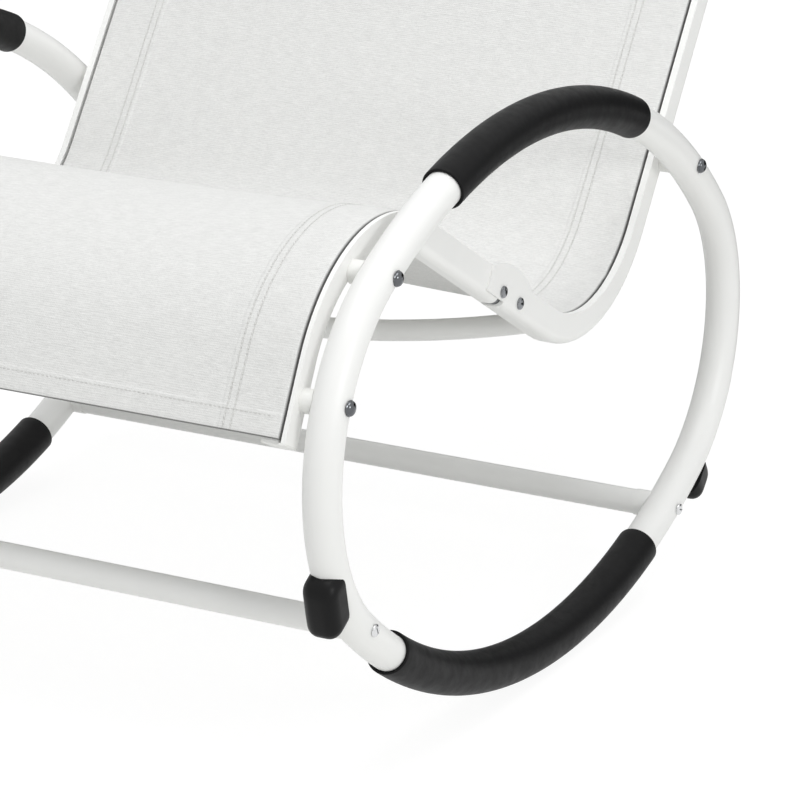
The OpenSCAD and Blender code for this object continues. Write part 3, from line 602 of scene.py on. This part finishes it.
def sling_place(x, s):
    """The cloth's upper side at x mm across, measured along the cloth, and s mm from the hem."""
    flat = slot_x - edge_in - edge_bend
    side = -1 if x < 0 else 1
    run = abs(x)
    if run <= flat:
        across, down = x, 0.0
    else:
        bend = min(run - flat, edge_bend * pi / 2)
        turn = bend / edge_bend
        across = side * (flat + edge_bend * sin(turn))
        down = edge_bend * (1 - cos(turn)) + (run - flat - bend)
    line, slope = sling_line(s)
    sag = knee_dip * swell(s - knee_mid) - hip_rise * swell(s - hip_mid)
    up = 0.55 - down - sag * max(0, 1 - (across / rail_inner) ** 2)
    up += 0.42 * ease(run, slot_x - hem_w - 1.2, slot_x - hem_w + 0.6)
    up += 0.42 * (1 - ease(s, front_hem - 0.6, front_hem + 1.2)) * (1 - ease(run, slot_x - 6, slot_x - 4))
    if x > 0:
        crease = crease_depth * exp(-(((s - crease_at) / crease_w) ** 2))
        up -= ease(run, slot_x - hem_w, slot_x - hem_w + 14) * crease
    taut = 1 - ease(run, slot_x - 25, slot_x - 8)
    waves = noise.noise(Vector((x / 160, s / 90, 3.1))) + 0.4 * noise.noise(Vector((x / 60, s / 36, 8.7)))
    up += 0.5 * taut * waves
    place = line + up * unit(slope + 90)
    return Vector((across, place.x, place.y)) * MM


half_cut = slot_x - edge_in - edge_bend + edge_bend * pi / 2 + edge_drop - edge_bend


def steps(stops):
    """Places from the first stop to the last, each stretch cut into its own number of steps."""
    places = [stops[0][0]]
    for (start, count), (end, _) in zip(stops, stops[1:]):
        places += [start + (end - start) * (i + 1) / count for i in range(count)]
    return places


hem_at = slot_x - hem_w
half_places = steps([(0, 30), (hem_at - 1.4, 6), (hem_at + 0.8, 12), (slot_x - edge_in - edge_bend, 5),
                     (slot_x - edge_in - edge_bend + edge_bend * pi / 2, 2), (half_cut, 0)])
across_places = [-x for x in reversed(half_places[1:])] + half_places
along_places = steps([(0.0, 4), (front_hem - 0.8, 5), (front_hem + 1.4, 5), (front_drop, 30),
                      (front_drop + knee_arc, 28), (front_drop + knee_arc + seat_run, 16),
                      (crease_at - 12, 16), (crease_at + 12, 8),
                      (hip_mid + hip_arc / 2, 70), (sling_len, 0)])


def make_sling():
    """The cut sheet, laid flat as a grid with its map, then bent along the rails and given its thickness."""
    leave_all()
    columns, rows = len(across_places), len(along_places)
    bpy.ops.mesh.primitive_grid_add(x_subdivisions=columns - 1, y_subdivisions=rows - 1,
                                    size=2, calc_uvs=True)
    sheet = begin("sling_sheet")
    bpy.ops.object.mode_set(mode="OBJECT")
    mesh = sheet.data
    cut = [(across_places[round((v.co.x + 1) / 2 * (columns - 1))],
            along_places[round((v.co.y + 1) / 2 * (rows - 1))]) for v in mesh.vertices]
    layer = mesh.uv_layers[0]
    layer.name = "cloth"
    for loop in mesh.loops:
        x, s = cut[loop.vertex_index]
        layer.data[loop.index].uv = (x * MM, s * MM)
    for v, (x, s) in zip(mesh.vertices, cut):
        v.co = sling_place(x, s)
    finish_with(sheet, "SOLIDIFY", thickness=1.1 * MM, offset=-1, use_rim=True, use_even_offset=True)
    finish_with(sheet, "BEVEL", width=0.4 * MM, segments=2, limit_method="ANGLE", angle_limit=radians(60))
    return settle(sheet, 50)


def make_stitches():
    """Lockstitch rows: one small bead is modelled and copied along both side hems and the front hem."""
    leave_all()
    bpy.ops.mesh.primitive_cylinder_add(vertices=6, radius=0.42 * MM, depth=2.3 * MM, rotation=(pi / 2, 0, 0))
    bead = begin("stitch")
    bpy.ops.mesh.select_all(action="SELECT")
    bpy.ops.mesh.bevel(offset=0.25 * MM, segments=1, affect="EDGES")
    bpy.ops.object.mode_set(mode="OBJECT")
    settle(bead, 60)
    places = []
    for inset in stitch_rows:
        for side in (-1, 1):
            count = int((sling_len - 10) / stitch_pitch)
            places += [(side * (slot_x - inset), 5 + i * stitch_pitch, 0) for i in range(count)]
    row_half = slot_x - 8
    places += [(i * stitch_pitch - row_half, front_hem - front_row_in, 90)
               for i in range(int(2 * row_half / stitch_pitch))]
    source = bead.data
    whole = bmesh.new()
    for x, s, turn in places:
        along = sling_place(x, s + 1) - sling_place(x, s - 1)
        across = sling_place(x + 1, s) - sling_place(x - 1, s)
        ahead, beside = (along, across) if turn == 0 else (across, -along)
        ahead.normalize()
        up = beside.cross(ahead).normalized()
        axes = Matrix((ahead.cross(up), ahead, up)).transposed().to_4x4()
        placed = source.copy()
        placed.transform(Matrix.Translation(sling_place(x, s) + 0.05 * MM * up) @ axes)
        whole.from_mesh(placed)
        bpy.data.meshes.remove(placed)
    whole.to_mesh(source)
    whole.free()
    bead.name = source.name = "sling_stitches"
    return settle(bead, 60)


sling = wear(make_sling(), cloth, "sling_cloth", "sling")
stitches = wear(make_stitches(), thread, "sling_cloth")


# Floor, light and camera
def seen_directly(tree):
    """1 for what the camera, a reflection or a clear piece shows, 0 for light on its way."""
    paths = add(tree, "ShaderNodeLightPath").outputs
    seen = paths["Is Camera Ray"]
    for kind in ("Is Glossy Ray", "Is Transmission Ray"):
        seen = add(tree, "ShaderNodeMath", {0: seen, 1: paths[kind]}, operation="MAXIMUM").outputs[0]
    return seen


def make_floor():
    # A plain pale floor and world: white to the camera and in reflections, with the
    # object's own soft shadow kept on the floor.
    leave_all()
    bpy.ops.mesh.primitive_plane_add(size=60)
    floor = bpy.context.object
    floor.name = "studio_floor"
    made, tree = new_material("pale_studio_floor")
    share = add(tree, "ShaderNodeMath", {0: seen_directly(tree), 1: 0.8}, operation="MULTIPLY")
    matt = add(tree, "ShaderNodeBsdfDiffuse", {"Color": linear("#f0f0ee")})
    glow = add(tree, "ShaderNodeEmission", {"Color": (1, 1, 1, 1), "Strength": 1.12})
    both = add(tree, "ShaderNodeMixShader", {0: share.outputs[0], 1: matt.outputs[0], 2: glow.outputs[0]})
    surface(tree, both)
    floor.data.materials.append(made)


def make_world():
    world = bpy.data.worlds.new("studio_world")
    bpy.context.scene.world = world
    world.use_nodes = True
    tree = world.node_tree
    tree.nodes.clear()
    way = add(tree, "ShaderNodeSeparateXYZ", {"Vector": add(tree, "ShaderNodeTexCoord").outputs["Generated"]})
    strength = range_of(tree, way.outputs["Z"], -0.1, 0.9, 0.42, 0.8)
    around = add(tree, "ShaderNodeBackground", {"Color": linear("#f4f5f6"), "Strength": strength})
    white = add(tree, "ShaderNodeBackground", {"Color": (1, 1, 1, 1), "Strength": 1.0})
    seen = seen_directly(tree)
    both = add(tree, "ShaderNodeMixShader", {0: seen, 1: around.outputs[0], 2: white.outputs[0]})
    add(tree, "ShaderNodeOutputWorld", {"Surface": both.outputs[0]})


def add_lamp(name, place, aim, size, power):
    leave_all()
    bpy.ops.object.light_add(type="AREA", location=place)
    lamp = bpy.context.object
    lamp.name = name
    lamp.data.size = size
    lamp.data.energy = power
    lamp.rotation_euler = (Vector(aim) - Vector(place)).to_track_quat("-Z", "Y").to_euler()


def add_dark_card(name, place, lean, width, height):
    """A dark card behind the chair, seen only in its gloss, so that bolts and tubes get a dark side."""
    leave_all()
    bpy.ops.mesh.primitive_plane_add(size=1, location=place, rotation=(lean, 0, 0))
    card = bpy.context.object
    card.name = name
    card.scale = (width, height, 1)
    made, tree = new_material(name + "_felt")
    surface(tree, add(tree, "ShaderNodeBsdfDiffuse", {"Color": linear("#080808")}))
    card.data.materials.append(made)
    card.visible_camera = card.visible_diffuse = card.visible_transmission = card.visible_shadow = False


make_floor()
make_world()
add_dark_card("rear_dark_card", (0.4, 2.6, 0.5), radians(90), 5.5, 1.5)
add_dark_card("floor_dark_card", (-1.0, 1.6, 0.01), 0, 3.6, 2.0)
add_lamp("overhead_softbox", (0.3, -0.7, 3.4), (0, 0, 0.3), 2.2, 44)
add_lamp("left_front_softbox", (3.1, -1.6, 1.6), (0, 0, 0.35), 1.0, 26)

leave_all()
bpy.ops.object.camera_add(location=(1.6314, -2.9981, 1.2692), rotation=(radians(74.53), 0, radians(29.37)))
camera = bpy.context.object
camera.data.sensor_width = 36
camera.data.lens = 196.47
camera.data.shift_x = 0.204
camera.data.shift_y = -0.28
bpy.context.scene.camera = camera
bpy.context.scene.view_settings.view_transform = "Standard"
